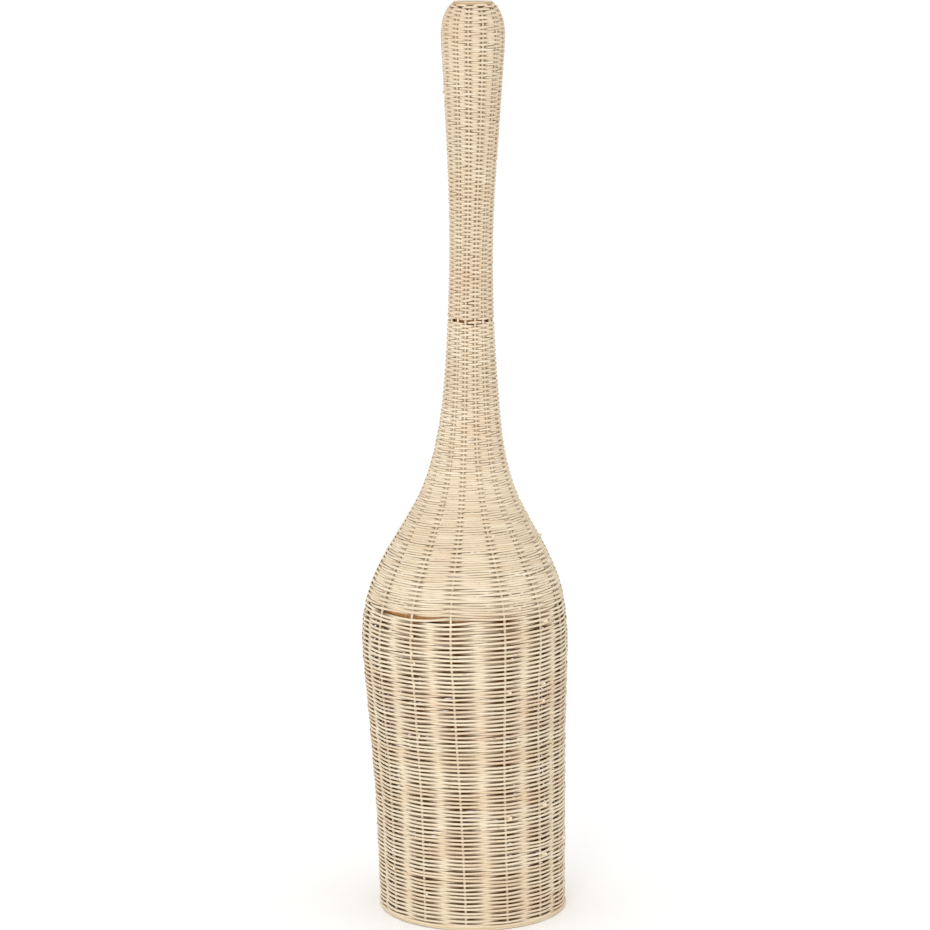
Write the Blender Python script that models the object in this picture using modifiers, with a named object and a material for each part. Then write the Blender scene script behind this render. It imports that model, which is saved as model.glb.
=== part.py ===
"""Hand-woven rattan floor torch, 1.5 m tall.

Fourteen rattan stakes run from a plywood foot to a round mouth.  Three woven
walls are worked round them: a barrel, a shoulder with the lower neck, and the
upper neck with the head.  A hoop is tied inside at each of the two joins.  A
drop-in oil canister with its burner cap, wick and snuffer hangs on a seat ring
inside the head and lifts out through the mouth.

Units are metres, +Z is up, the origin is the centre of the foot's underside.
"""

import math

import bmesh
import bpy

# ---------------------------------------------------------------- dimensions

HEIGHT = 1.500
STAKES = 14
STAKE_R = 0.0021            # rattan core, 4.2 mm
WEAVER_D = 0.0033           # woven strand, 3.3 mm
GAP = 0.0003                # clearance between touching solids
STAKE_INSET = 0.0062        # wall's outer face to a stake's centre line
ROUND = 42                  # facets round the woven walls: three for each stake

# Outer profile of the woven wall: (height, radius), foot to mouth.
PROFILE = (
    (0.000, 0.1560), (0.100, 0.1577), (0.200, 0.1600), (0.300, 0.1640),
    (0.400, 0.1693), (0.450, 0.1714), (0.500, 0.1686), (0.550, 0.1576),
    (0.600, 0.1357), (0.650, 0.1074), (0.700, 0.0809), (0.750, 0.0641),
    (0.800, 0.0539), (0.850, 0.0479), (0.900, 0.0435), (0.950, 0.0406),
    (1.000, 0.0383), (1.050, 0.0368), (1.100, 0.0364), (1.150, 0.0371),
    (1.200, 0.0389), (1.250, 0.0414), (1.300, 0.0444), (1.350, 0.0474),
    (1.400, 0.0503), (1.435, 0.0524), (1.455, 0.0522), (1.472, 0.0495),
    (1.485, 0.0449), (1.493, 0.0402), (1.4985, 0.0348),
)
# The handwork leans: sideways offset of the wall's centre, and how far the
# stakes have turned about the axis.
LEAN = (
    (0.000, 0.0000), (0.100, -0.0020), (0.200, -0.0044), (0.300, -0.0084),
    (0.400, -0.0116), (0.460, -0.0136), (0.550, -0.0126), (0.650, -0.0094),
    (0.750, -0.0069), (0.850, -0.0042), (1.000, -0.0040), (1.150, -0.0031),
    (1.300, -0.0013), (1.400, -0.0007), (1.500, -0.0007),
)
TWIST_DEG = (
    (0.000, -5.2), (0.500, -5.6), (0.700, -8.0), (0.850, -11.0),
    (1.000, -13.5), (1.150, -12.5), (1.300, -9.5), (1.500, -7.0),
)

# Handwork again: degrees that the four front stakes (numbers 14, 1, 2 and 3)
# stray from even spacing, at each height.
STRAY_STAKES = (13, 0, 1, 2)
STRAY_DEG = (
    (0.04, (-0.1, 0.8, 1.5, 1.2)), (0.25, (0.0, -1.1, 0.6, 0.0)),
    (0.39, (-0.1, -2.0, 1.7, -0.5)), (0.55, (-0.7, -2.3, 3.2, 3.4)),
    (0.70, (3.0, 0.3, -0.6, -2.7)), (0.89, (1.0, -2.1, -3.4, -4.5)),
    (0.985, (1.5, -1.3, -0.4, -1.7)), (1.21, (0.5, 2.6, 2.9, 6.5)),
    (1.41, (-1.6, -1.6, 1.7, 7.5)),
)

BARREL = (0.0062, 0.5198)           # z span of each woven wall
SHOULDER = (0.5238, 0.9860)
UPPER = (0.9900, 1.4970)

FOOT_RIM_R, FOOT_RIM_ROD = 0.1526, 0.0028
MOUTH_RIM_R, MOUTH_RIM_ROD = 0.0306, 0.0030
HOOP_ROD = 0.0030
SHOULDER_HOOP_Z = 0.5200
NECK_HOOP_Z = 0.9880
STRAND_INSIDE = 0.0099      # outer face to the middle of a strand behind a stake

BOARD_R, BOARD_T = 0.1470, 0.012

SEAT_TOP, SEAT_T = 1.4530, 0.005
SEAT_BORE = 0.0250
CAN_R, CAN_WALL, CAN_BOTTOM = 0.0240, 0.0008, 1.3450
CAN_FLANGE_R, CAN_FLANGE_T = 0.0268, 0.0012
CAN_NECK_R, CAN_NECK_TOP = 0.0175, 1.4640
CAP_R, CAP_PLATE_TOP = 0.0200, 1.4655
TUBE_R, TUBE_BORE, TUBE_TOP = 0.0068, 0.0055, 1.4780
WICK_R, WICK_BOTTOM, WICK_TOP = 0.0051, 1.3560, 1.4830
SNUFFER_R, SNUFFER_WALL, SNUFFER_TOP = 0.0086, 0.0010, 1.4906
KNOB_R, KNOB_TOP = 0.0036, 1.4956


# ---------------------------------------------------------------- maths

def smooth(table, z):
    """Catmull-Rom value of a (z, value) table at z."""
    if z <= table[0][0]:
        return table[0][1]
    if z >= table[-1][0]:
        return table[-1][1]
    k = max(i for i in range(len(table) - 1) if table[i][0] <= z)
    z0, v0 = table[k]
    z1, v1 = table[k + 1]
    width = z1 - z0

    def slope(i):
        if i in (0, len(table) - 1):
            a, b = max(i - 1, 0), min(i + 1, len(table) - 1)
            return (table[b][1] - table[a][1]) / (table[b][0] - table[a][0])
        left = (table[i][1] - table[i - 1][1]) / (table[i][0] - table[i - 1][0])
        right = (table[i + 1][1] - table[i][1]) / (table[i + 1][0] - table[i][0])
        wl = table[i + 1][0] - table[i][0]
        wr = table[i][0] - table[i - 1][0]
        return (left * wl + right * wr) / (wl + wr)

    t = (z - z0) / width
    h = (2 * t**3 - 3 * t**2 + 1, t**3 - 2 * t**2 + t,
         -2 * t**3 + 3 * t**2, t**3 - t**2)
    return h[0] * v0 + h[1] * width * slope(k) + h[2] * v1 + h[3] * width * slope(k + 1)


def radius(z):
    return smooth(PROFILE, z)


def lean(z):
    return smooth(LEAN, z)


def stray(index, z):
    """Degrees this stake has wandered from even spacing at this height."""
    if index not in STRAY_STAKES:
        return 0.0
    column = STRAY_STAKES.index(index)
    return smooth([(height, row[column]) for height, row in STRAY_DEG], z)


def inset(z, depth):
    """(radius, height) of the point depth inside the outer profile at z."""
    step = 0.0004
    low, high = max(z - step, PROFILE[0][0]), min(z + step, PROFILE[-1][0])
    dr, dz = radius(high) - radius(low), high - low
    length = math.hypot(dr, dz)
    return radius(z) - depth * dz / length, z + depth * dr / length


def thin_out(points, tolerance):
    """The fewest of the points that keep the polyline within the tolerance."""
    a, b = points[0], points[-1]
    ux, uy = b[0] - a[0], b[1] - a[1]
    length = math.hypot(ux, uy) or 1.0
    worst, where = 0.0, 0
    for i, p in enumerate(points[1:-1], 1):
        off = abs((p[0] - a[0]) * uy - (p[1] - a[1]) * ux) / length
        if off > worst:
            worst, where = off, i
    if worst <= tolerance:
        return [a, b]
    return thin_out(points[:where + 1], tolerance)[:-1] + thin_out(points[where:], tolerance)


def ladder(z0, z1, count):
    return [z0 + (z1 - z0) * i / (count - 1) for i in range(count)]


# ---------------------------------------------------------------- scene

for old in list(bpy.data.objects):
    bpy.data.objects.remove(old, do_unlink=True)

torch = bpy.data.collections.new("rattan_torch")
bpy.context.scene.collection.children.link(torch)


def material(name, colour, roughness, metallic=0.0):
    made = bpy.data.materials.new(name)
    made.use_nodes = True
    shader = made.node_tree.nodes["Principled BSDF"]
    shader.inputs["Base Color"].default_value = (*colour, 1.0)
    shader.inputs["Roughness"].default_value = roughness
    shader.inputs["Metallic"].default_value = metallic
    return made


WEAVE = material("rattan_weave", (0.76, 0.62, 0.42), 0.55)
CORE = material("rattan_stake", (0.80, 0.67, 0.47), 0.50)
HOOP = material("rattan_hoop", (0.66, 0.50, 0.31), 0.55)
PLY = material("plywood", (0.62, 0.47, 0.30), 0.70)
STEEL = material("galvanised_steel", (0.62, 0.63, 0.64), 0.38, 1.0)
BRASS = material("brass", (0.72, 0.53, 0.24), 0.32, 1.0)
FIBRE = material("wick_fibre", (0.86, 0.84, 0.78), 0.95)


def place(obj, mat, smooth_shading=True):
    for home in list(obj.users_collection):
        home.objects.unlink(obj)
    torch.objects.link(obj)
    obj.data.materials.clear()
    obj.data.materials.append(mat)
    if smooth_shading and obj.type == "MESH":
        obj.data.shade_smooth()
        obj.data.set_sharp_from_angle(angle=math.radians(35))
    return obj


def turned(name, points, mat, steps, closed=False, shell=0.0):
    """A profile of (radius, height) points turned about Z.  The points run
    down the outer side.  shell gives an open profile a wall, inwards."""
    mesh = bpy.data.meshes.new(name)
    edges = [(i, i + 1) for i in range(len(points) - 1)]
    if closed:
        edges.append((len(points) - 1, 0))
    mesh.from_pydata([(r, 0.0, z) for r, z in points], edges, [])
    obj = bpy.data.objects.new(name, mesh)
    bpy.context.scene.collection.objects.link(obj)
    screw = obj.modifiers.new("turn", "SCREW")
    screw.axis = "Z"
    screw.angle = 2 * math.pi
    screw.steps = screw.render_steps = steps
    screw.use_merge_vertices = True
    screw.merge_threshold = 0.00005
    screw.use_smooth_shade = True
    if shell:
        wall = obj.modifiers.new("wall", "SOLIDIFY")
        wall.thickness = shell
        wall.offset = -1.0
        wall.use_even_offset = True
    return place(obj, mat, False)


def as_mesh(obj):
    """Replaces an object by its evaluated mesh."""
    bpy.context.view_layer.update()
    graph = bpy.context.evaluated_depsgraph_get()
    mesh = bpy.data.meshes.new_from_object(obj.evaluated_get(graph))
    mats = [slot.material for slot in obj.material_slots]
    name, matrix = obj.name, obj.matrix_world.copy()
    old = obj.data
    bpy.data.objects.remove(obj, do_unlink=True)
    if isinstance(old, bpy.types.Mesh):
        bpy.data.meshes.remove(old)
    else:
        bpy.data.curves.remove(old)
    mesh.name = name
    new = bpy.data.objects.new(name, mesh)
    new.matrix_world = matrix
    bpy.context.scene.collection.objects.link(new)
    return place(new, mats[0])


def leaned(obj):
    """Shifts each ring of a turned wall by the lean at its height."""
    for vertex in obj.data.vertices:
        vertex.co.x += lean(vertex.co.z)
    return obj


def rod_ring(name, ring_radius, rod_radius, z, mat, centre_x, around=ROUND):
    bpy.ops.mesh.primitive_torus_add(
        major_radius=ring_radius, minor_radius=rod_radius,
        major_segments=around, minor_segments=8,
        location=(centre_x, 0.0, z))
    obj = bpy.context.object
    obj.name = obj.data.name = name
    return place(obj, mat)


# ---------------------------------------------------------------- woven walls

def woven_wall(name, span):
    points = [(radius(z), z) for z in ladder(span[0], span[1], 160)]
    points = thin_out(points, 0.00050)
    obj = turned(name, points[::-1], WEAVE, ROUND, shell=WEAVER_D)
    return leaned(as_mesh(obj))


woven_wall("barrel_weave", BARREL)
woven_wall("shoulder_weave", SHOULDER)
woven_wall("neck_and_head_weave", UPPER)

# ---------------------------------------------------------------- stakes

foot_clear = 2 * FOOT_RIM_ROD + 2 * GAP
stake_bottom = foot_clear
stake_top = 1.4915


def stake_line(index):
    """Centre line of a stake: foot to mouth, a constant depth inside the wall."""
    flat = []
    for z in ladder(stake_bottom, stake_top, 260):
        r, height = inset(z, STAKE_INSET)
        flat.append((r, height, z))
    kept = thin_out([(r, h) for r, h, _ in flat], 0.00050)
    line = []
    for r, h in kept:
        angle = math.radians(-90.0 + index * 360.0 / STAKES + smooth(TWIST_DEG, h)
                             + stray(index, h))
        line.append((lean(h) + r * math.cos(angle), r * math.sin(angle), h))
    return line


for index in range(STAKES):
    line = stake_line(index)
    curve = bpy.data.curves.new("stake_%02d" % (index + 1), "CURVE")
    curve.dimensions = "3D"
    curve.bevel_depth = STAKE_R
    curve.bevel_resolution = 2
    curve.use_fill_caps = True
    spline = curve.splines.new("POLY")
    spline.points.add(len(line) - 1)
    for point, where in zip(spline.points, line):
        point.co = (*where, 1.0)
    place(bpy.data.objects.new(curve.name, curve), CORE)

# ---------------------------------------------------------------- rims, hoops

rod_ring("foot_rim", FOOT_RIM_R, FOOT_RIM_ROD, FOOT_RIM_ROD, HOOP, lean(0.0))
rod_ring("mouth_rim", MOUTH_RIM_R, MOUTH_RIM_ROD, HEIGHT - MOUTH_RIM_ROD, HOOP,
         lean(HEIGHT), 28)


def inner_hoop(name, z, tall):
    """A ring of flat-oval rattan, tall times as high as it is thick."""
    clear = STRAND_INSIDE + WEAVER_D / 2 + 2 * GAP + HOOP_ROD
    hoop = rod_ring(name, radius(z) - clear, HOOP_ROD, z, HOOP, lean(z), 36)
    for vertex in hoop.data.vertices:
        vertex.co.z *= tall
    return hoop


inner_hoop("shoulder_hoop", SHOULDER_HOOP_Z, 2.0)
inner_hoop("neck_hoop", NECK_HOOP_Z, 1.0)

# ---------------------------------------------------------------- foot board

bpy.ops.mesh.primitive_cylinder_add(
    vertices=56, radius=BOARD_R, depth=BOARD_T, location=(0.0, 0.0, BOARD_T / 2))
board = bpy.context.object
board.name = board.data.name = "foot_board"
edge = board.modifiers.new("edge", "BEVEL")
edge.width = 0.0012
edge.segments = 1
edge.limit_method = "ANGLE"
place(board, PLY)

# ---------------------------------------------------------------- oil canister

axis_x = lean(HEIGHT)
seat_outer = inset(SEAT_TOP - SEAT_T / 2, STAKE_INSET)[0] - STAKE_R - 3 * GAP
seat = turned("canister_seat", [
    (SEAT_BORE, SEAT_TOP), (seat_outer, SEAT_TOP),
    (seat_outer, SEAT_TOP - SEAT_T), (SEAT_BORE, SEAT_TOP - SEAT_T),
], PLY, 32, closed=True)
seat.location.x = axis_x

flange_low = SEAT_TOP + GAP
flange_top = flange_low + CAN_FLANGE_T
can = turned("fuel_canister", [
    (0.0, CAN_BOTTOM + CAN_WALL),
    (CAN_R - CAN_WALL, CAN_BOTTOM + CAN_WALL),
    (CAN_R - CAN_WALL, flange_low),
    (CAN_NECK_R - CAN_WALL * 1.5, flange_low),
    (CAN_NECK_R - CAN_WALL * 1.5, CAN_NECK_TOP),
    (CAN_NECK_R, CAN_NECK_TOP),
    (CAN_NECK_R, flange_top),
    (CAN_FLANGE_R, flange_top),
    (CAN_FLANGE_R, flange_low),
    (CAN_R, flange_low),
    (CAN_R, CAN_BOTTOM),
    (0.0, CAN_BOTTOM),
], STEEL, 32)
can.location.x = axis_x

cap_bore = CAN_NECK_R + GAP
cap_low = flange_top + GAP
cap_ceiling = CAN_NECK_TOP + GAP
cap = turned("burner_cap", [
    (TUBE_BORE, TUBE_TOP), (TUBE_R, TUBE_TOP), (TUBE_R, CAP_PLATE_TOP),
    (CAP_R, CAP_PLATE_TOP), (CAP_R, cap_low), (cap_bore, cap_low),
    (cap_bore, cap_ceiling), (TUBE_R, cap_ceiling),
    (TUBE_R, cap_low), (TUBE_BORE, cap_low),
], BRASS, 28, closed=True)
cap.location.x = axis_x

wick = turned("wick", [
    (0.0, WICK_TOP), (WICK_R * 0.7, WICK_TOP), (WICK_R, WICK_TOP - 0.0015),
    (WICK_R, WICK_BOTTOM), (0.0, WICK_BOTTOM),
], FIBRE, 16)
wick.location.x = axis_x

snuffer_low = CAP_PLATE_TOP + GAP
inner = SNUFFER_R - SNUFFER_WALL
inner_top = SNUFFER_TOP - SNUFFER_WALL
dome = [(0.0, inner_top), (inner - 0.0010, inner_top), (inner, inner_top - 0.0010),
        (inner, snuffer_low), (SNUFFER_R + 0.0006, snuffer_low),
        (SNUFFER_R + 0.0006, snuffer_low + 0.0015), (SNUFFER_R, snuffer_low + 0.0020),
        (SNUFFER_R, SNUFFER_TOP - 0.0030), (SNUFFER_R * 0.80, SNUFFER_TOP - 0.0008),
        (SNUFFER_R * 0.45, SNUFFER_TOP), (KNOB_R * 0.55, SNUFFER_TOP + 0.0006),
        (KNOB_R * 0.55, SNUFFER_TOP + 0.0016), (KNOB_R, SNUFFER_TOP + 0.0026),
        (KNOB_R, KNOB_TOP - 0.0008), (KNOB_R * 0.7, KNOB_TOP), (0.0, KNOB_TOP)]
snuffer = turned("snuffer", dome[::-1], STEEL, 24)
snuffer.location.x = axis_x
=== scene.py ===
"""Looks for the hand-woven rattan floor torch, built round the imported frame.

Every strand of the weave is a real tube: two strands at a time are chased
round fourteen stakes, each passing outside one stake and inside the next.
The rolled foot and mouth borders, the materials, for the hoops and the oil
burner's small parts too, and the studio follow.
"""

import math

import bpy
import numpy as np
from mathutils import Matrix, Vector


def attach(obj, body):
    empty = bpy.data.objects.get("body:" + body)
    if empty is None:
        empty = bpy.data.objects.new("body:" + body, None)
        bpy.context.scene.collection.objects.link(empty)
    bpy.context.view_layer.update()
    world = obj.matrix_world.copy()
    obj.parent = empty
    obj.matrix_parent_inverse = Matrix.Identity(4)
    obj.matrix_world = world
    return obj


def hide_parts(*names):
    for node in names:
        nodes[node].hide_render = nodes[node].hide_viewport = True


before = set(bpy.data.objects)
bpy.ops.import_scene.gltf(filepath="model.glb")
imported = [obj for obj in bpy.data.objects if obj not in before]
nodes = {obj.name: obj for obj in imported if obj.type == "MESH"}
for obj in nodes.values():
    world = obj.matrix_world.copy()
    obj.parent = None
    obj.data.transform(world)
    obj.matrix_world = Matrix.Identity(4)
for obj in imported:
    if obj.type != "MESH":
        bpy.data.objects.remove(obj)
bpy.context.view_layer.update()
TAU = 2.0 * math.pi

# ------------------------------------------------------------ dimensions
# The same design dimensions as the frame's, in metres.

HEIGHT = 1.500
STAKES = 14
STAKE_R = 0.0021
WEAVER_D = 0.0033
STAKE_INSET = 0.0062

PROFILE = (
    (0.000, 0.1560), (0.100, 0.1577), (0.200, 0.1600), (0.300, 0.1640),
    (0.400, 0.1693), (0.450, 0.1714), (0.500, 0.1686), (0.550, 0.1576),
    (0.600, 0.1357), (0.650, 0.1074), (0.700, 0.0809), (0.750, 0.0641),
    (0.800, 0.0539), (0.850, 0.0479), (0.900, 0.0435), (0.950, 0.0406),
    (1.000, 0.0383), (1.050, 0.0368), (1.100, 0.0364), (1.150, 0.0371),
    (1.200, 0.0389), (1.250, 0.0414), (1.300, 0.0444), (1.350, 0.0474),
    (1.400, 0.0503), (1.435, 0.0524), (1.455, 0.0522), (1.472, 0.0495),
    (1.485, 0.0449), (1.493, 0.0402), (1.4985, 0.0348),
)
LEAN = (
    (0.000, 0.0000), (0.100, -0.0020), (0.200, -0.0044), (0.300, -0.0084),
    (0.400, -0.0116), (0.460, -0.0136), (0.550, -0.0126), (0.650, -0.0094),
    (0.750, -0.0069), (0.850, -0.0042), (1.000, -0.0040), (1.150, -0.0031),
    (1.300, -0.0013), (1.400, -0.0007), (1.500, -0.0007),
)
TWIST_DEG = (
    (0.000, -5.2), (0.500, -5.6), (0.700, -8.0), (0.850, -11.0),
    (1.000, -13.5), (1.150, -12.5), (1.300, -9.5), (1.500, -7.0),
)
STRAY_STAKES = (13, 0, 1, 2)
STRAY_DEG = (
    (0.04, (-0.1, 0.8, 1.5, 1.2)), (0.25, (0.0, -1.1, 0.6, 0.0)),
    (0.39, (-0.1, -2.0, 1.7, -0.5)), (0.55, (-0.7, -2.3, 3.2, 3.4)),
    (0.70, (3.0, 0.3, -0.6, -2.7)), (0.89, (1.0, -2.1, -3.4, -4.5)),
    (0.985, (1.5, -1.3, -0.4, -1.7)), (1.21, (0.5, 2.6, 2.9, 6.5)),
    (1.41, (-1.6, -1.6, 1.7, 7.5)),
)
BARREL = (0.0062, 0.5198)
SHOULDER = (0.5238, 0.9860)
UPPER = (0.9900, 1.4970)


def curve_of(rows):
    """A smooth function of z through (z, value) rows, for arrays."""
    z = np.array([row[0] for row in rows])
    v = np.array([row[1] for row in rows])
    step = np.diff(z)
    rise = np.diff(v) / step
    slope = np.empty(len(z))
    slope[0], slope[-1] = rise[0], rise[-1]
    slope[1:-1] = (rise[:-1] * step[1:] + rise[1:] * step[:-1]) / (step[1:] + step[:-1])

    def at(x):
        x = np.clip(np.asarray(x, float), z[0], z[-1])
        k = np.clip(np.searchsorted(z, x, side="right") - 1, 0, len(z) - 2)
        w = step[k]
        t = (x - z[k]) / w
        return ((2 * t**3 - 3 * t**2 + 1) * v[k] + (t**3 - 2 * t**2 + t) * w * slope[k]
                + (3 * t**2 - 2 * t**3) * v[k + 1] + (t**3 - t**2) * w * slope[k + 1])
    return at


radius, lean, twist = curve_of(PROFILE), curve_of(LEAN), curve_of(TWIST_DEG)


def ramp(x, low, high):
    """0 below low, 1 above high, smooth between."""
    t = np.clip((np.asarray(x, float) - low) / (high - low), 0.0, 1.0)
    return t * t * (3 - 2 * t)


def wall(z):
    """The outer profile's radius and outward normal (radial, up) at z."""
    z = np.asarray(z, float)
    low = np.maximum(z - 0.0004, PROFILE[0][0])
    high = np.minimum(z + 0.0004, PROFILE[-1][0])
    dr, dz = radius(high) - radius(low), high - low
    size = np.hypot(dr, dz)
    return radius(z), dz / size, -dr / size


STRAY = [curve_of([(height, row[k]) for height, row in STRAY_DEG]) for k in range(4)]


def stray(u, z):
    """Degrees the stakes near u have wandered from even spacing."""
    total = 0.0
    for index, degrees in zip(STRAY_STAKES, STRAY):
        off = np.abs((np.asarray(u, float) - index + STAKES / 2) % STAKES - STAKES / 2)
        total = total + np.maximum(1.0 - off, 0.0) * degrees(z)
    return total


def stake_angle(u, z):
    """The direction, seen from above, of stake number u (any real number)."""
    return np.radians(-90.0 + np.asarray(u) * 360.0 / STAKES + twist(z) + stray(u, z))


SWELL = 0.0008              # the round of the strands stands this far proud


def on_wall(u, z, depth):
    """Point depth inside the outer profile at z, its outward normal."""
    r, nr, nz = wall(z)
    depth = depth - SWELL * ramp(-z, -1.490, -1.470)
    angle = stake_angle(u, z)
    c, s = np.cos(angle), np.sin(angle)
    radial, height = r - depth * nr, z - depth * nz
    where = np.stack([lean(height) + radial * c, radial * s, height], -1)
    return where, np.stack([nr * c, nr * s, nz], -1)


# ------------------------------------------------------------ mesh helpers

class Tubes:
    """Many tubes gathered into one mesh, with a place on the finish map and
    the strand's own coordinates, tint and painted shade at every vertex."""

    def __init__(self, sides=8):
        self.sides = sides
        self.parts = []
        self.count = 0

    def add(self, path, normal, r_out, r_up, tint=0.5, seed=0.0, tone=None,
            cut=None, u=None, row=0.0, closed=False, groove=0.0):
        """path: points; normal: which way the tube's outer side faces;
        groove: how much painted shade darkens its upper and lower edges, the grooves between rows."""
        n, k = len(path), self.sides
        r_out = np.broadcast_to(np.asarray(r_out, float), (n,))
        r_up = np.broadcast_to(np.asarray(r_up, float), (n,))
        if closed:
            tangent = np.roll(path, -1, 0) - np.roll(path, 1, 0)
        else:
            tangent = np.gradient(path, axis=0)
        tangent /= np.linalg.norm(tangent, axis=1)[:, None]
        out = normal - (normal * tangent).sum(1)[:, None] * tangent
        out /= np.linalg.norm(out, axis=1)[:, None]
        up = np.cross(tangent, out)
        phi = np.arange(k) * TAU / k + TAU / (2 * k)
        c, s = np.cos(phi), np.sin(phi)
        ring = (path[:, None, :]
                + (r_out[:, None] * c)[..., None] * out[:, None, :]
                + (r_up[:, None] * s)[..., None] * up[:, None, :])
        gaps = np.linalg.norm(np.diff(path, axis=0), axis=1)
        along = np.concatenate([[0.0], np.cumsum(gaps)])
        lay = np.stack([
            np.broadcast_to((along + seed * 7.31)[:, None], (n, k)),
            r_out[:, None] * c + seed * 0.917,
            r_up[:, None] * s + seed * 0.353], -1)
        # painted shade: inside passes keep their negative values, and the tube's upper and lower
        # edges, where rows meet in a groove, are darkened further
        tone = np.ones(n) if tone is None else tone
        edge = np.clip((np.abs(s) - 0.5) / 0.42, 0.0, 1.0)
        tone = np.minimum(tone, 0.0)[:, None] - groove * edge[None, :]
        cut = np.zeros(n) if cut is None else cut
        base = self.count
        index = base + np.arange(n * k).reshape(n, k)
        last = n if closed else n - 1
        i = np.arange(last)
        a = index[i]
        b = index[(i + 1) % n]
        a1, b1 = np.roll(a, -1, 1), np.roll(b, -1, 1)
        quads = np.stack([a, a1, b1, b], -1).reshape(-1, 4)
        u = along if u is None else u
        ub = np.concatenate([u[1:], u[:1]])[:last] if closed else u[1:]
        ua = u[:last]
        ub = np.where(ub < ua - 0.5, ub + 1.0, ub)
        ring_v = (np.arange(k) + 0.5) / k
        line = np.broadcast_to(np.asarray(row, float), (n,))[:last, None]
        va = line + 0.08 + 0.84 * (ring_v - 0.5 / k)
        vb = line + 0.08 + 0.84 * (ring_v + 0.5 / k)
        uv = np.empty((last, k, 4, 2))
        uv[:, :, 0, 0] = uv[:, :, 1, 0] = ua[:, None]
        uv[:, :, 2, 0] = uv[:, :, 3, 0] = ub[:, None]
        uv[:, :, 0, 1] = uv[:, :, 3, 1] = va
        uv[:, :, 1, 1] = uv[:, :, 2, 1] = vb
        uv = uv.reshape(-1, 4, 2)
        flat = np.zeros(len(quads), bool)
        if not closed:
            half = k // 2
            start = [(index[0, j], index[0, j + 1], index[0, k - 2 - j], index[0, k - 1 - j])
                     for j in range(half - 1)]
            end = [(index[-1, j], index[-1, k - 1 - j], index[-1, k - 2 - j], index[-1, j + 1])
                   for j in range(half - 1)]
            # the ring runs anticlockwise seen from the tube's far end
            caps = np.array([q[::-1] for q in start] + [q[::-1] for q in end])
            cap_uv = np.empty((len(caps), 4, 2))
            cap_uv[:half - 1, :, 0] = u[0]
            cap_uv[half - 1:, :, 0] = u[-1]
            cap_uv[:half - 1, :, 1] = line[0, 0] + 0.5
            cap_uv[half - 1:, :, 1] = line[-1, 0] + 0.5
            quads = np.concatenate([quads, caps])
            uv = np.concatenate([uv, cap_uv])
            flat = np.concatenate([flat, np.ones(len(caps), bool)])
        self.parts.append((
            ring.reshape(-1, 3), quads, uv, flat, lay.reshape(-1, 3),
            np.full(n * k, tint), tone.ravel(), np.repeat(cut, k)))
        self.count += n * k

    def split(self, height):
        """The same tubes as two gatherings, below and above a height."""
        made, seen = (Tubes(self.sides), Tubes(self.sides)), 0
        for part in self.parts:
            to = made[int(part[0][:, 2].mean() > height)]
            to.parts.append((part[0], part[1] - seen + to.count) + part[2:])
            to.count += len(part[0])
            seen += len(part[0])
        return made

    def build(self, name, material, rows=None):
        co, quads, uv, flat, lay, tint, tone, cut = (
            np.concatenate(x) for x in zip(*self.parts))
        mesh = bpy.data.meshes.new(name)
        mesh.vertices.add(len(co))
        mesh.vertices.foreach_set("co", co.astype(np.float32).ravel())
        mesh.loops.add(quads.size)
        mesh.loops.foreach_set("vertex_index", quads.astype(np.int32).ravel())
        mesh.polygons.add(len(quads))
        mesh.polygons.foreach_set("loop_start", np.arange(0, quads.size, 4, dtype=np.int32))
        mesh.update(calc_edges=True)
        mesh.polygons.foreach_set("use_smooth", ~flat)
        for label, values in (("tint", tint), ("tone", tone), ("cut", cut)):
            made = mesh.attributes.new(label, "FLOAT", "POINT")
            made.data.foreach_set("value", values.astype(np.float32))
        made = mesh.attributes.new("lay", "FLOAT_VECTOR", "POINT")
        made.data.foreach_set("vector", lay.astype(np.float32).ravel())
        if rows:
            layer = mesh.uv_layers.new(name="OFBake")
            flatuv = uv.copy()
            flatuv[..., 1] /= rows
            layer.data.foreach_set("uv", flatuv.astype(np.float32).ravel())
        mesh.materials.append(material)
        mesh.validate()
        obj = bpy.data.objects.new(name, mesh)
        bpy.context.scene.collection.objects.link(obj)
        return obj


# ------------------------------------------------------------ the weave
# u counts stakes round the torch, s counts the two strands, and a row is one
# pass of one strand round the wall.  Strand s passes outside stake i where
# i + s is even.

SIDES = 8
BARREL_OUT, BARREL_IN = 0.0039, 0.0036      # a strand's reach each side of a stake
SLOPE_OUT, SLOPE_FACE = 0.0042, 0.0031      # the same on the shoulder, and the
NECK_OUT, NECK_FACE = 0.0040, 0.0036        # face the rows keep between stakes
UPPER_IN = 0.0034
TUCK = 0.0004                               # an inside pass is beaten down this far
BACK = 7                    # the strands step up two rows behind stake 8
random = np.random.default_rng(4207)


def from_front(u, z):
    """Degrees round from the front, to the right positive."""
    turn = np.degrees(stake_angle(u, z)) + 90.0
    return (turn + 180.0) % 360.0 - 180.0


def bump(x, middle, width):
    return np.exp(-((x - middle) / width) ** 2)


TILT = curve_of((
    (0.00, 0.000), (0.20, 0.010), (0.40, 0.020), (0.52, 0.004), (0.65, 0.020),
    (0.80, 0.010),
    (1.00, 0.000), (1.18, -0.010), (1.25, -0.060), (1.38, -0.060),
    (1.46, -0.010), (1.50, 0.000),
))
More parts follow.
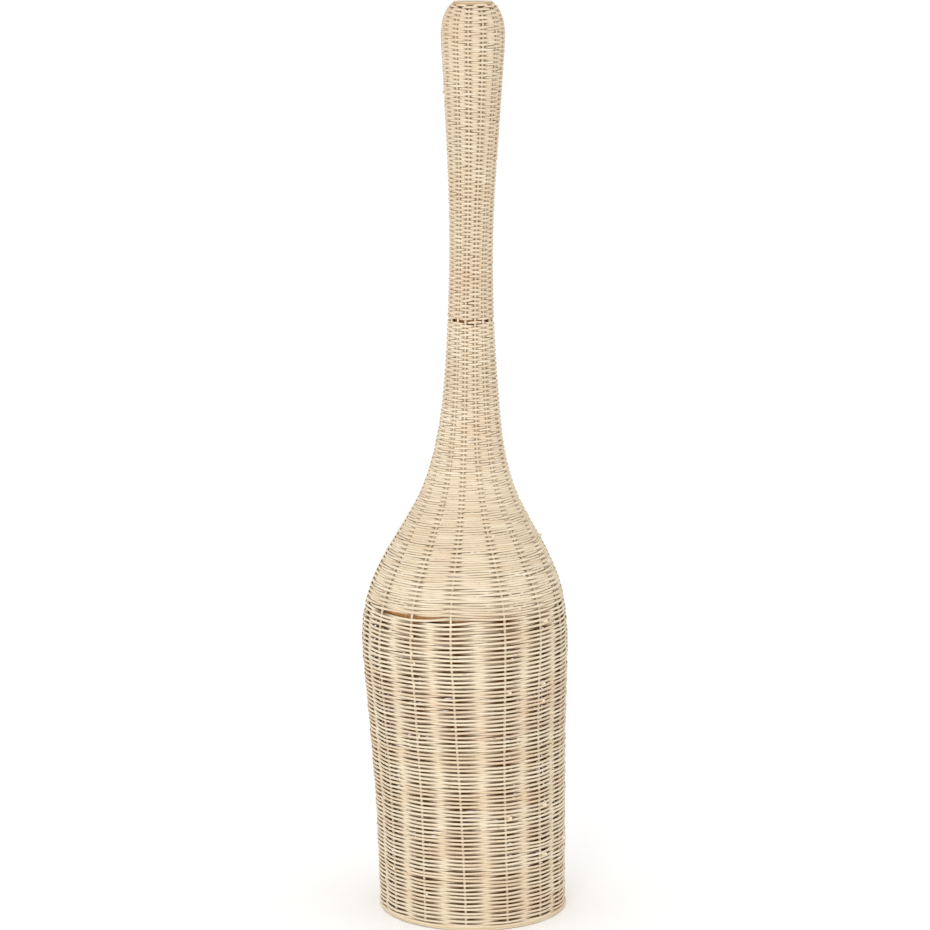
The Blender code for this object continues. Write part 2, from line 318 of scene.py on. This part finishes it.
# Loose places: height, degrees from the front, half width in degrees, how
# far the rows part there, and how many metres up and down it fades over.
LOOSE = (
    (1.0174, 0.0, 11.0, 0.0034, 0.008),
    (0.8200, -40.0, 20.0, 0.0008, 0.008),
    (0.5096, -0.5, 7.0, 0.0010, 0.004),
    (0.4850, 1.0, 8.0, 0.0012, 0.006),
    (0.3330, 12.0, 24.0, 0.0012, 0.010),
    (0.2320, -14.0, 18.0, 0.0013, 0.010),
    (0.1010, 8.0, 30.0, 0.0014, 0.012),
    (0.4180, 20.0, 20.0, 0.0012, 0.010),
    (0.1500, 150.0, 26.0, 0.0016, 0.012),
    (0.3700, -130.0, 22.0, 0.0014, 0.010),
    (1.4890, 0.0, 400.0, 0.0024, 0.006),
)
BUNCHES = [(int(random.integers(1, 9)), random.uniform(170.0, 420.0), random.uniform(0, TAU),
            random.uniform(0.6, 1.2)) for _ in range(8)]
WAVES = [(int(random.integers(1, 6)), random.uniform(6.0, 40.0), random.uniform(0, TAU),
          random.uniform(0.5, 1.0)) for _ in range(9)]


def drift(u, z):
    """How far the handwork has pushed the rows up at this place."""
    a = np.radians(from_front(u, z))
    side = from_front(u, z)
    size = radius(z)
    total = TILT(z) * size * np.sin(a)
    wavy = sum(h * np.sin(n * a + k * z + p) for n, k, p, h in WAVES) / 9 ** 0.5
    total = total + wavy * (0.0004 + 0.0042 * size)
    for n, k, p, h in BUNCHES:                  # rows crowd together and part again
        total = total + 0.00016 * h * np.sin(n * a + k * z + p)
    for height, where, width, amount, fade in LOOSE:
        off = (side - where + 180.0) % 360.0 - 180.0
        near = np.exp(-(off / width) ** 2) if width < 200 else (
            0.75 + 0.25 * np.sin(3 * a + 0.8))
        total = total + near * amount * np.tanh((z - height) / 0.0016) * 0.5 * np.exp(
            -np.abs(z - height) / fade)
    return total * ramp(z, 0.004, 0.030) * ramp(-z, -1.4975, -1.4930)


# The main join, in millimetres up: the first row above it, the last row of
# the barrel, and the rows below that, at each place round the front.
SEAM = (
    (-180, -1.8, 1.9, 1.9), (-78, -1.8, 1.9, 1.9), (-60, -0.6, 0.6, 0.6),
    (-50, 0.2, 0.2, 0.2), (-40, 0.6, 0.0, 0.0), (-30, 0.9, 0.0, 0.0),
    (-20, 2.4, 2.4, 0.4), (-10, 4.8, 6.4, 1.6), (-2, 3.6, 6.4, 3.0),
    (5, 2.2, 5.6, 4.4), (12, 0.5, 4.2, 4.0), (25, -1.4, 2.3, 2.3),
    (50, -1.8, 1.9, 1.9), (180, -1.8, 1.9, 1.9),
)
SEAM_ABOVE, SEAM_LAST, SEAM_REST = (
    curve_of([(row[0], row[k]) for row in SEAM]) for k in (1, 2, 3))


class Wall:
    """One woven wall: rows of two chased strands between two heights."""

    def __init__(self, name, span, bands, seed, tightness, tints):
        self.name, self.span, self.bands, self.tints = name, span, bands, tints
        self.random = np.random.default_rng(seed)
        zs = np.linspace(max(span[0] - 0.006, 0.0004), min(span[1] + 0.006, 1.4984), 3000)
        r, nr, nz = wall(zs)
        line = np.stack([r - STAKE_INSET * nr, zs - STAKE_INSET * nz], -1)
        arc = np.concatenate([[0.0], np.cumsum(np.linalg.norm(np.diff(line, axis=0), axis=1))])
        arc -= np.interp(span[0], zs, arc)
        self.length = float(np.interp(span[1], zs, arc))
        self.least, self.most = arc[0], arc[-1]
        self.z_of = lambda s: np.interp(s, arc, zs)
        self.s_of = lambda z: np.interp(z, zs, arc)
        # the rows' spacing against the usual 3.47 mm, at the foot of the wall
        # and at its head
        self.first, self.final = tightness
        usual = 0.00347 * (self.first + self.final) / 2
        self.rows = int(round(self.length / usual / 2)) * 2

    def arc_of(self, row):
        """How far up the wall the middle of a row is."""
        x = (row + 0.5) / self.rows
        rise = self.first * x + (self.final - self.first) * x * x / 2
        return self.length * rise / ((self.first + self.final) / 2)

    def seam(self, side, from_low, from_high):
        """Rows shift here to close up, or open, at the ends of the wall."""
        low, high = np.maximum(from_low, 0), np.maximum(from_high, 0)
        if self.name == "barrel":
            last = np.exp(-(high / 0.5) ** 2)
            return (SEAM_LAST(side) * last
                    + SEAM_REST(side) * (1 - last)) * 0.001 * np.exp(-high / 9)
        if self.name == "shoulder":
            lifted = ramp(side, -17, -9) * (1 - ramp(side, 34, 42))
            return (SEAM_ABOVE(side) * 0.001 * np.exp(-low / 11)
                    + 0.0019 * lifted * np.exp(-(high / 0.5) ** 2))
        return 0.0


def depth_at(u, z, s):
    """(how far outside the stakes' circle a strand runs, 1 outside to -1 inside)."""
    below = np.floor(u)
    gap = TAU * (radius(z) - STAKE_INSET) / STAKES   # stake to stake
    off = u - below
    sign = np.where((below + s) % 2 == 0, 1.0, -1.0)
    # barrel: long passes that cross half way between two stakes
    swing = sign * np.cos(np.pi * off)
    low = np.where(swing > 0, BARREL_OUT, BARREL_IN) * swing
    # above it: rows lie in one face and part only at a stake
    spread = 1 - ramp(z, 0.530, 0.680)
    slim = ramp(z, 0.84, 1.04)
    reach = SLOPE_OUT + (NECK_OUT - SLOPE_OUT) * slim
    depth = UPPER_IN + 0.0012 * slim
    face = (SLOPE_FACE + (NECK_FACE - SLOPE_FACE) * slim) * (1 - 0.35 * spread)
    high = face + 0.0
    part = 0.0
    for side, x in ((sign, off * gap), (-sign, (1 - off) * gap)):
        wide = np.where(side > 0, 0.0046 + 0.012 * spread, 0.0039 - 0.0001 * slim + 0.0065 * spread)
        near = np.exp(-(x / wide) ** 2)
        high = high + np.where(side > 0, reach - face, -depth - face) * near
        part = part + side * near
    mix = ramp(z, 0.519, 0.532)
    return low * (1 - mix) + high * mix, swing * (1 - mix) + np.clip(part, -1, 1) * mix


STEPS_WIDE = np.array([0, .035, .075, .125, .19, .28, .40, .50, .60, .72, .81, .875, .925, .965])
STEPS_EVEN = np.array([0, .07, .15, .24, .33, .42, .50, .58, .67, .76, .85, .93])
STEPS_NARROW = np.array([0, .12, .24, .37, .50, .63, .76, .88])


def weave(this, steps_of):
    """All the strands of one wall, a Tubes for each of its bands."""
    made = [Tubes(SIDES) for _ in this.bands]
    rnd = this.random
    half_turns = this.rows // 2
    limits = [round(b * half_turns) for b in this.bands]        # last turn of each band
    starts = [0] + limits[:-1]
    for s in (0, 1):
        # where this strand is joined: every so often, and at a band's edge
        for band, (first, last) in enumerate(zip(starts, limits)):
            at = first * STAKES
            end = last * STAKES
            joints = [at]
            while True:
                z = float(this.z_of(this.arc_of(2 * at / STAKES)))
                gap = TAU * (float(radius(z)) - STAKE_INSET) / STAKES
                step = int(max(4, rnd.uniform(1.4, 3.6) / gap))
                nxt = at + step
                if (nxt + BACK + s) % 2 == 0:        # join behind a stake
                    nxt += 1
                if nxt >= end - 3:
                    break
                joints.append(nxt)
                at = nxt
            joints.append(end)
            follows = False
            for j0, j1 in zip(joints[:-1], joints[1:]):
                z = float(this.z_of(this.arc_of(2 * j0 / STAKES)))
                gap = TAU * (float(radius(z)) - STAKE_INSET) / STAKES
                whole = (np.arange(j0, j1)[:, None] + steps_of(z)[None]).ravel()
                local = np.append(whole, j1)
                if j0 != first * STAKES:
                    begin = j0 + (0.0058 / gap if follows else 0.02)
                    local = np.concatenate([[begin], local[local > begin + 0.01]])
                if first == 0 and j0 == 0:
                    local = np.concatenate([np.linspace(-1.4, -0.1, 10), local])
                tail = j1 != end and rnd.random() < 0.4
                add_strand(this, made[band], s, local, first, tail, rnd)
                follows = tail
    return made


def row_place(this, local, s):
    """(z, u) of a strand's points.  local counts stakes from the strand's
    start; each turn keeps level, then steps up two rows at the back."""
    turn = np.floor(local / STAKES)
    part = local - turn * STAKES
    up = ramp(part, STAKES - 3.0, STAKES) * 2.0
    up = np.where(local < 0, 0.0, up)
    row = s + 2.0 * np.maximum(turn, 0) + up
    arc = this.arc_of(row)
    return arc, local + BACK, row


def add_strand(this, tubes, s, local, first_turn, tail, rnd):
    arc, u, row = row_place(this, local, s)
    z = this.z_of(arc)
    nominal = z
    # this strand's own unevenness
    size = radius(z)
    wander = (0.00012 + 0.0016 * size)
    p = rnd.uniform(0, TAU, 4)
    own = (np.sin(local * 0.71 + p[0]) + 0.8 * np.sin(local * 1.37 + p[1])
           + 0.6 * np.sin(local * 2.3 + p[2])) * wander
    shift = drift(u, nominal) + this.seam(from_front(u, nominal), row, this.rows - 1 - row)
    held = 0.35 + 0.65 * np.abs(np.cos(np.pi * (u - np.floor(u))))     # tight where they cross
    held = held * (1 - 0.45 * ramp(nominal, 0.519, 0.532) * (1 - ramp(nominal, 0.84, 1.00)))
    own = own * held * ramp(row, -0.5, 2.0) * ramp(this.rows - 1 - row, -0.5, 2.0)
    arc = np.clip(arc + shift + own, this.least, this.most)
    z = this.z_of(arc)
    a, shape = depth_at(u, nominal, s)
    body = 1 - ramp(nominal, 0.519, 0.532)
    a = a + (0.00015 + 0.00045 * body) * np.sin(local * 1.9 + p[3])
    inside = np.maximum(-shape, 0.0)
    arc = arc - TUCK * inside * (0.4 + 0.6 * body) * ramp(row, 0.5, 2.0)
    z = this.z_of(arc)
    outside = np.maximum(shape, 0.0)
    slope = (1 - body) * (1 - ramp(nominal, 0.66, 0.84))
    thick = rnd.uniform(0.94, 1.04)
    slim = ramp(nominal, 0.70, 1.00)
    r_up = thick * (0.00192 + (0.00008 + (0.00028 + 0.00032 * slope) * (1 - body)) * outside
                    + (0.00040 + 0.00090 * body) * inside ** 1.3)
    r_out = min(thick, 1.0) * (0.00118 + 0.00040 * body - 0.00014 * slim - 0.00014 * inside)
    # painted shade follows how far inside the stakes the strand runs, weaker on the shoulder's
    # slope
    tone = shape * (1 - 0.74 * slope)
    if this.name == "barrel":                    # the loose last row stays in the light
        tone = tone * (1 - 0.9 * np.exp(-((this.rows - 1 - row) / 0.6) ** 2)
                       * bump(from_front(u, nominal), -22.0, 34.0))
    points, normal = on_wall(u, z, STAKE_INSET - a)
    tint, seed = rnd.uniform(*this.tints), rnd.uniform(0, 50)
    turn = np.floor(local / STAKES)
    line = 2 * np.maximum(turn - first_turn, 0) + s
    where = (local / STAKES) % 1.0
    tubes.add(points, normal, r_out, r_up, tint=tint, seed=seed,
              tone=tone, u=where, row=line, groove=0.24 if this.name == "barrel" else 0.28)
    if tail:
        # the old strand's end: out from behind the stake, past the row
        stake = u[-1]
        zt = float(z[-1])
        gap = TAU * (float(radius(zt)) - STAKE_INSET) / STAKES
        reach = rnd.uniform(0.0065, 0.0105)
        t = np.linspace(0.0, 1.0, 9)
        far = rnd.uniform(0.0058, 0.0090)
        a = -UPPER_IN + (far + UPPER_IN) * ramp(t, 0.15, 1.0) ** 0.9
        side = 1.0
        up = (t ** 1.5) * rnd.uniform(-0.0012, 0.0016)
        pts, nrm = on_wall(stake + side * t * reach / gap, zt + up, STAKE_INSET - a)
        cut = np.where(t > 0.86, 1.0, 0.0)
        tubes.add(pts, nrm, r_out[-1], r_up[-1] * 0.97, tint=tint, seed=seed + 3.0,
                  tone=np.ones(len(t)), cut=cut,
                  u=where[-2] + 0.0005 * t, row=line[-2])


def steps_for(z):
    if z < 0.52:
        return STEPS_EVEN
    return STEPS_WIDE if z < 0.73 else (STEPS_EVEN if z < 0.80 else STEPS_NARROW)


# ------------------------------------------------------------ materials

def linear(r, g, b):
    """A screen colour, 0 to 255, as a linear one."""
    def one(c):
        c /= 255.0
        return c / 12.92 if c <= 0.04045 else ((c + 0.055) / 1.055) ** 2.4
    return (one(r), one(g), one(b), 1.0)


class Maker:
    """A material's node tree, built by name."""

    def __init__(self, name):
        self.material = bpy.data.materials.new(name)
        self.material.use_nodes = True
        self.tree = self.material.node_tree
        self.shader = self.tree.nodes["Principled BSDF"]

    def node(self, kind, **sockets):
        made = self.tree.nodes.new(kind)
        for key, value in sockets.items():
            if hasattr(made, key) and key not in made.inputs:
                setattr(made, key, value)
        return made

    def link(self, a, b):
        self.tree.links.new(a, b)

    def attribute(self, name, out="Fac"):
        made = self.node("ShaderNodeAttribute")
        made.attribute_name = name
        return made.outputs[out]

    def scaled(self, vector, scale):
        made = self.node("ShaderNodeMapping")
        made.inputs["Scale"].default_value = scale
        self.link(vector, made.inputs["Vector"])
        return made.outputs["Vector"]

    def noise(self, vector, scale=1.0, detail=2.0, rough=0.5):
        made = self.node("ShaderNodeTexNoise")
        made.inputs["Scale"].default_value = scale
        made.inputs["Detail"].default_value = detail
        made.inputs["Roughness"].default_value = rough
        self.link(vector, made.inputs["Vector"])
        return made.outputs["Fac"]

    def remap(self, value, a, b, c, d):
        made = self.node("ShaderNodeMapRange")
        made.inputs["From Min"].default_value = a
        made.inputs["From Max"].default_value = b
        made.inputs["To Min"].default_value = c
        made.inputs["To Max"].default_value = d
        self.link(value, made.inputs["Value"])
        return made.outputs["Result"]

    def ramp(self, value, stops):
        made = self.node("ShaderNodeValToRGB")
        ramp_ = made.color_ramp
        while len(ramp_.elements) < len(stops):
            ramp_.elements.new(0.5)
        for element, (where, colour) in zip(ramp_.elements, stops):
            element.position = where
            element.color = colour
        self.link(value, made.inputs["Fac"])
        return made.outputs["Color"]

    def mix(self, fac, a, b, how="MIX"):
        made = self.node("ShaderNodeMix")
        made.data_type = "RGBA"
        made.blend_type = how
        for socket, value in ((made.inputs[0], fac), (made.inputs[6], a), (made.inputs[7], b)):
            if isinstance(value, bpy.types.NodeSocket):
                self.link(value, socket)
            else:
                socket.default_value = value
        return made.outputs[2]

    def times(self, a, b):
        made = self.node("ShaderNodeMath")
        made.operation = "MULTIPLY"
        for socket, value in zip(made.inputs, (a, b)):
            if isinstance(value, bpy.types.NodeSocket):
                self.link(value, socket)
            else:
                socket.default_value = value
        return made.outputs[0]

    def bump(self, height, strength, distance):
        made = self.node("ShaderNodeBump")
        made.inputs["Strength"].default_value = strength
        made.inputs["Distance"].default_value = distance
        self.link(height, made.inputs["Height"])
        self.link(made.outputs["Normal"], self.shader.inputs["Normal"])

    def set(self, **values):
        for key, value in values.items():
            self.shader.inputs[key.replace("_", " ")].default_value = value


def rattan(name, stops, relief=True, wear=1.0):
    """Peeled rattan core: fibres along the strand, cloudy colour from one
    length to the next, small brown flecks and paler cut ends, and painted shade, a dark brown mixed
    in on the inside passes and in the grooves between rows."""
    m = Maker(name)
    lay = m.attribute("lay", "Vector")
    tint = m.attribute("tint")
    base = m.ramp(tint, stops)
    cloud = m.noise(m.scaled(lay, (11.0, 40.0, 40.0)), 1.0, 3.0, 0.55)
    base = m.mix(m.remap(cloud, 0.52, 0.74, 0.0, 0.34 * wear), base, linear(208, 180, 144))
    place = m.node("ShaderNodeTexCoord").outputs["Object"]
    patch = m.noise(m.scaled(place, (9.0, 9.0, 15.0)), 1.0, 2.0, 0.5)
    base = m.mix(m.remap(patch, 0.50, 0.68, 0.0, 0.42 * wear), base, linear(214, 184, 152))
    pale = m.noise(m.scaled(lay, (17.0, 60.0, 60.0)), 1.0, 2.0, 0.5)
    base = m.mix(m.remap(pale, 0.54, 0.72, 0.0, 0.40), base, linear(242, 232, 212))
    fibre = m.noise(m.scaled(lay, (26.0, 2100.0, 2100.0)), 1.0, 3.0, 0.6)
    base = m.mix(m.remap(fibre, 0.56, 0.74, 0.0, 0.36), base, linear(194, 164, 124))
    fleck = m.noise(m.scaled(lay, (95.0, 620.0, 620.0)), 1.0, 1.0, 0.5)
    base = m.mix(m.remap(fleck, 0.700, 0.735, 0.0, 0.55), base, linear(140, 98, 58))
    shade = m.noise(m.scaled(lay, (24.0, 20.0, 20.0)), 1.0, 1.0, 0.5)
    # painted shade: where the strand runs inside or along its groove edges, the colour mixes
    # towards dark brown, with its strength varied by a noise; the sheen drops there too
    depth = m.times(m.remap(m.attribute("tone"), -0.94, -0.20, 1.0, 0.0),
                    m.remap(shade, 0.36, 0.58, 0.52, 1.0))
    base = m.mix(depth, base, linear(100, 62, 25))
    base = m.mix(m.times(m.attribute("cut"), 0.6), base, linear(232, 218, 192))
    m.link(base, m.shader.inputs["Base Color"])
    m.link(m.remap(depth, 0.0, 0.5, 0.22, 0.0), m.shader.inputs["Specular IOR Level"])
    if relief:
        m.link(m.remap(fibre, 0.3, 0.7, 0.44, 0.62), m.shader.inputs["Roughness"])
        m.bump(fibre, 0.35, 0.00025)
    else:
        m.set(Roughness=0.52)
    return m.material


WEAVER_STOPS = (
    (0.00, linear(211, 192, 165)), (0.16, linear(216, 199, 171)),
    (0.34, linear(223, 207, 181)), (0.55, linear(227, 214, 189)),
    (0.76, linear(225, 210, 183)), (0.88, linear(220, 201, 171)),
    (1.00, linear(216, 196, 171)),
)
CORE_STOPS = (
    (0.00, linear(224, 206, 176)), (0.50, linear(230, 215, 188)),
    (1.00, linear(222, 203, 173)),
)
# The dark low end of this ramp, which the mouth's rings take, is painted shade along the mouth's
# lip; the paler stops are the border strands' own tone.
BORDER_TONE_AND_SHADE_STOPS = (
    (0.00, linear(150, 110, 68)), (0.20, linear(196, 168, 132)),
    (0.35, linear(202, 182, 152)), (0.60, linear(214, 195, 165)),
    (1.00, linear(224, 208, 180)),
)
WEAVE = rattan("rattan_weave_strand", WEAVER_STOPS)
CORE = rattan("rattan_stake_core", CORE_STOPS, relief=False)
RIM = rattan("rattan_border", BORDER_TONE_AND_SHADE_STOPS)

# ------------------------------------------------------------ walls

# The shoulder and the neck and head draw their tints from the darker end of the strand ramp: partly
# the strands' own greyer tone, partly painted shade that evens out the stronger light falling on
# these walls.
WALLS = (
    (Wall("barrel", BARREL, (0.5, 1.0), 11, (0.985, 1.035), (0.25, 1.0)), ("barrel_weave",),
     ("barrel_weave_lower", "barrel_weave_middle", "barrel_weave_upper")),
    (Wall("shoulder", SHOULDER, (0.42, 1.0), 23, (1.100, 1.045), (0.0, 0.36)), ("shoulder_weave",),
     ("shoulder_weave_lower", "shoulder_weave_upper")),
    (Wall("upper", UPPER, (0.5, 1.0), 37, (1.045, 0.975), (0.0, 0.14)), ("neck_and_head_weave",),
     ("neck_weave_strands", "head_weave_strands")),
)
for this, stands_for, names in WALLS:
    gathered = weave(this, steps_for)
    if this.name == "barrel":
        gathered[-1:] = gathered[-1].split(0.39)
    for tubes, name in zip(gathered, names):
        piece = tubes.build(name if name not in nodes else name + "_strands", WEAVE,
                            rows=this.rows)
        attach(piece, "torch")
        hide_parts(*stands_for)

# ------------------------------------------------------------ stakes

for index in range(STAKES):
    zs = np.concatenate([np.linspace(0.0062, 1.40, 210), np.linspace(1.403, 1.4915, 40)])
    path, normal = on_wall(np.full(len(zs), float(index)), zs, STAKE_INSET)
    rod = Tubes(10)
    lengths = np.concatenate([[0], np.cumsum(np.linalg.norm(np.diff(path, axis=0), axis=1))])
    rod.add(path, normal, STAKE_R, STAKE_R, tint=float(random.random()),
            seed=float(random.uniform(0, 40)), u=lengths / lengths[-1])
    piece = rod.build("rattan_stake_%02d" % (index + 1), CORE, rows=1)
    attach(piece, "torch")
    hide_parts("stake_%02d" % (index + 1))

# ------------------------------------------------------------ borders

def ring_path(r, z, count, wobble=0.0, phase=0.0):
    a = np.arange(count) * TAU / count
    rr = r + wobble * np.sin(3 * a + phase)
    zz = z + wobble * 0.6 * np.sin(2 * a + phase * 1.7)
    x0 = float(lean(z))
    path = np.stack([x0 + rr * np.cos(a), rr * np.sin(a), zz], -1)
    normal = np.stack([np.cos(a), np.sin(a), np.zeros(count)], -1)
    return path, normal, a / TAU


def border(name, stands_for, rings, count):
    tubes = Tubes(10)
    for row, (r, z, thick, tint, wobble, phase) in enumerate(rings):
        path, normal, u = ring_path(r, z, count, wobble, phase)
        tubes.add(path, normal, thick, thick, tint=tint, seed=3.0 + row * 5,
                  u=u, row=row, closed=True)
    piece = tubes.build(name, RIM, rows=len(rings))
    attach(piece, "torch")
    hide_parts(stands_for)
    return piece


border("foot_border", "foot_rim", (
    (0.1537, 0.0023, 0.0020, 0.64, 0.0002, 0.4),
    (0.1543, 0.0058, 0.0019, 0.90, 0.0002, 2.1),
    (0.1505, 0.0050, 0.0022, 0.45, 0.0, 0.0),
), 160)
# the mouth's rings take tints near the dark end of the border ramp: painted shade along the lip
border("mouth_border", "mouth_rim", (
    (0.0304, 1.4979, 0.0018, 0.34, 0.0003, 1.0),
    (0.0331, 1.4954, 0.0016, 0.16, 0.0003, 2.6),
    (0.0300, 1.4925, 0.0018, 0.00, 0.0, 0.0),
), 96)

# ------------------------------------------------------------ plain pieces

def grained(name, dark, light, scale, rough, metal=0.0, along=(1.0, 1.0, 1.0), bump=0.1,
            depth=0.0003):
    m = Maker(name)
    coords = m.node("ShaderNodeTexCoord").outputs["Object"]
    n = m.noise(m.scaled(coords, tuple(scale * a for a in along)), 1.0, 4.0, 0.6)
    m.link(m.ramp(n, ((0.32, dark), (0.68, light))), m.shader.inputs["Base Color"])
    m.link(m.remap(n, 0.3, 0.7, rough * 1.2, rough * 0.8), m.shader.inputs["Roughness"])
    m.set(Metallic=metal)
    if bump:
        m.bump(n, bump, depth)
    return m.material


HOOP = grained("rattan_hoop", linear(184, 128, 70), linear(216, 164, 102), 130.0, 0.55)
PLY = grained("birch_plywood", linear(172, 132, 84), linear(214, 180, 130), 16.0, 0.62,
              along=(1.0, 14.0, 60.0))
STEEL = grained("galvanised_sheet", linear(164, 166, 168), linear(206, 208, 209), 90.0, 0.36, 1.0)
BRASS = grained("brushed_brass", linear(180, 138, 70), linear(214, 176, 104), 240.0, 0.30, 1.0,
                along=(1.0, 1.0, 6.0), bump=0.05)
FIBRE = grained("wick_fibre", linear(214, 208, 194), linear(246, 243, 234), 900.0, 0.95,
                along=(1.0, 1.0, 0.25), bump=0.5)

for node, material in (
        ("shoulder_hoop", HOOP), ("neck_hoop", HOOP), ("foot_board", PLY),
        ("canister_seat", PLY), ("fuel_canister", STEEL), ("burner_cap", BRASS),
        ("wick", FIBRE), ("snuffer", STEEL)):
    for place in nodes[node].material_slots:
        place.material = material

# ------------------------------------------------------------ studio

bpy.ops.mesh.primitive_plane_add(size=400.0, location=(0.0, 0.0, -0.0004))
floor = bpy.context.object
floor.name = "studio_floor"
paper = bpy.data.materials.new("pale_paper")
paper.use_nodes = True
shader = paper.node_tree.nodes["Principled BSDF"]
shader.inputs["Base Color"].default_value = (0.985, 0.985, 0.985, 1.0)
shader.inputs["Roughness"].default_value = 0.95
shader.inputs["Specular IOR Level"].default_value = 0.1
floor.data.materials.append(paper)

world = bpy.data.worlds.new("studio")
bpy.context.scene.world = world
world.use_nodes = True
world.node_tree.nodes["Background"].inputs["Color"].default_value = (1.0, 1.0, 1.0, 1.0)
world.node_tree.nodes["Background"].inputs["Strength"].default_value = 1.06


def soft_light(name, where, at, size, power):
    lamp = bpy.data.lights.new(name, "AREA")
    lamp.shape = "DISK"
    lamp.size = size
    lamp.energy = power
    obj = bpy.data.objects.new(name, lamp)
    obj.location = where
    obj.rotation_euler = (Vector(at) - Vector(where)).to_track_quat("-Z", "Y").to_euler()
    bpy.context.scene.collection.objects.link(obj)


soft_light("key", (-1.7, -6.6, 1.9), (0.0, 0.0, 0.7), 2.4, 124.0)

bpy.context.scene.view_settings.view_transform = "Standard"

lens = bpy.data.cameras.new("camera")
lens.type = "PERSP"
lens.sensor_width = 36.0
lens.lens = 36.0 * 3218.9 / 930.0
camera = bpy.data.objects.new("camera", lens)
camera.location = (-0.0134, -5.2, 1.67)
camera.rotation_euler = (math.radians(90.0 - 10.08), 0.0, 0.0)
bpy.context.scene.collection.objects.link(camera)
bpy.context.scene.camera = camera
